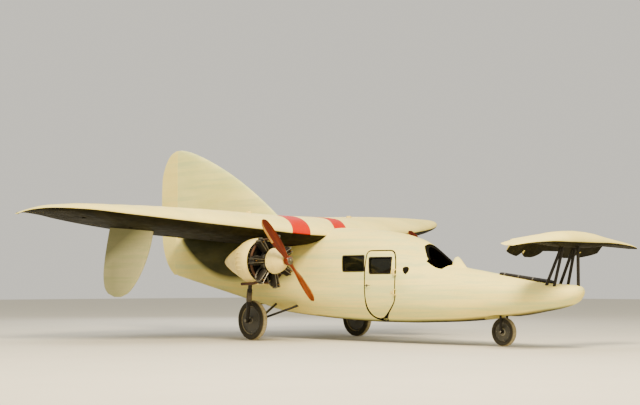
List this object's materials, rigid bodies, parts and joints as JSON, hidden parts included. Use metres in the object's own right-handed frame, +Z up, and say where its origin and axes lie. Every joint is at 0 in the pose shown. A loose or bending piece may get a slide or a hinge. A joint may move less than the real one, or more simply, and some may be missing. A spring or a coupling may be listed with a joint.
{
  "type": "canard aircraft",
  "caption": "Canard cabin aircraft with a strutted foreplane, high tapered wing, radial engines with wooden propellers, tall fin and rudder, under-wing fins and fixed nose-wheel gear.",
  "frame": {"origin": "on the ground on the centre plane, midway between the foreplane's leading edge and the rudder's trailing edge", "axes": "+X points to the nose, +Y to port, +Z up; the aircraft stands on its three wheels at Z = 0"},
  "size_m": [10.53, 10, 3.6976],
  "materials": {
    "cream_ply": "satin cream paint on plywood",
    "cream_fabric": "doped and painted fabric, cream",
    "cowl_metal": "satin cream paint on sheet metal",
    "engine_metal": "sooty, oil-stained cylinders and crankcase",
    "black_paint": "black paint on steel tube",
    "propeller_wood": "varnished laminated wood",
    "tyre": "dusty black rubber",
    "wheel_paint": "painted disc, dusty",
    "leather": "brown leather over padding",
    "glass": "dark, clear panes",
    "panel": "dark stained board"
  },
  "bodies": {
    "airframe": {"fuselage_nose": "cream_ply", "fuselage_cabin": "cream_ply", "fuselage_rear": "cream_fabric", "window_right_rear": "glass", "window_left_front": "glass", "window_left_rear": "glass", "windscreen_fairing": "cream_ply", "pilot_seat": "leather", "passenger_seat_front_left": "leather", "passenger_seat_rear_left": "leather", "passenger_seat_rear_right": "leather", "instrument_panel": "panel", "control_column": "black_paint", "control_duct": "black_paint", "wing": "cream_fabric", "fin": "cream_fabric", "under_fin_left": "cream_fabric", "under_fin_right": "cream_fabric", "foreplane": "cream_fabric", "foreplane_struts_left": "black_paint", "foreplane_struts_right": "black_paint", "foreplane_post_front": "black_paint", "nacelle_left": "cream_fabric", "nacelle_right": "cream_fabric", "engine_left": "engine_metal", "engine_right": "engine_metal", "nose_cowl_left": "cowl_metal", "nose_cowl_right": "cowl_metal", "main_leg_left": "black_paint", "main_leg_right": "black_paint"},
    "door": {"cabin_door": "cream_ply", "window_door": "glass"},
    "rudder_body": {"rudder": "cream_fabric"},
    "elevator_body": {"elevator": "cream_fabric"},
    "aileron_left_body": {"aileron_left": "cream_fabric"},
    "aileron_right_body": {"aileron_right": "cream_fabric"},
    "propeller_left_body": {"propeller_left": "propeller_wood"},
    "propeller_right_body": {"propeller_right": "propeller_wood"},
    "steering": {"nose_fork": "black_paint"},
    "nose_wheel": {"nose_tyre": "tyre", "nose_hub": "wheel_paint"},
    "main_wheel_left": {"main_tyre_left": "tyre", "main_hub_left": "wheel_paint"},
    "main_wheel_right": {"main_tyre_right": "tyre", "main_hub_right": "wheel_paint"}
  },
  "joints": [
    {"name": "door_hinge", "type": "hinge", "parent": "airframe", "child": "door", "pos_m": [1.939, -0.668, 1], "axis": [0, 0, 1], "range_deg": [0, 80]},
    {"name": "rudder_hinge", "type": "hinge", "parent": "airframe", "child": "rudder_body", "pos_m": [-4.745, 0, 1.9], "axis": [0, 0, 1], "range_deg": [-28, 28]},
    {"name": "elevator_hinge", "type": "hinge", "parent": "airframe", "child": "elevator_body", "pos_m": [4.775, 0, 1.612], "axis": [0, 1, 0], "range_deg": [-2, 75]},
    {"name": "aileron_left_hinge", "type": "hinge", "parent": "airframe", "child": "aileron_left_body", "pos_m": [-3.215, 2.95, 2.12111], "axis": [0.3931, 0.9173, 0.063], "range_deg": [-20, 20]},
    {"name": "aileron_right_hinge", "type": "hinge", "parent": "airframe", "child": "aileron_right_body", "pos_m": [-3.215, -2.95, 2.12111], "axis": [-0.3931, 0.9173, -0.063], "range_deg": [-20, 20]},
    {"name": "propeller_left_spin", "type": "hinge", "parent": "airframe", "child": "propeller_left_body", "pos_m": [0.625, 1.8, 1.37], "axis": [1, 0, 0], "continuous": true},
    {"name": "propeller_right_spin", "type": "hinge", "parent": "airframe", "child": "propeller_right_body", "pos_m": [0.625, -1.8, 1.37], "axis": [1, 0, 0], "continuous": true},
    {"name": "nose_steering", "type": "hinge", "parent": "airframe", "child": "steering", "pos_m": [3.705, 0, 0.5], "axis": [0, 0, 1], "range_deg": [-30, 30]},
    {"name": "nose_wheel_roll", "type": "hinge", "parent": "steering", "child": "nose_wheel", "pos_m": [3.705, 0, 0.23], "axis": [0, 1, 0], "continuous": true},
    {"name": "main_wheel_left_roll", "type": "hinge", "parent": "airframe", "child": "main_wheel_left", "pos_m": [-0.865, 1.3, 0.35], "axis": [0, 1, 0], "continuous": true},
    {"name": "main_wheel_right_roll", "type": "hinge", "parent": "airframe", "child": "main_wheel_right", "pos_m": [-0.865, -1.3, 0.35], "axis": [0, 1, 0], "continuous": true}
  ],
  "couplings": [
    {"joint": "aileron_right_hinge", "follows": "aileron_left_hinge", "ratio": -1}
  ]
}
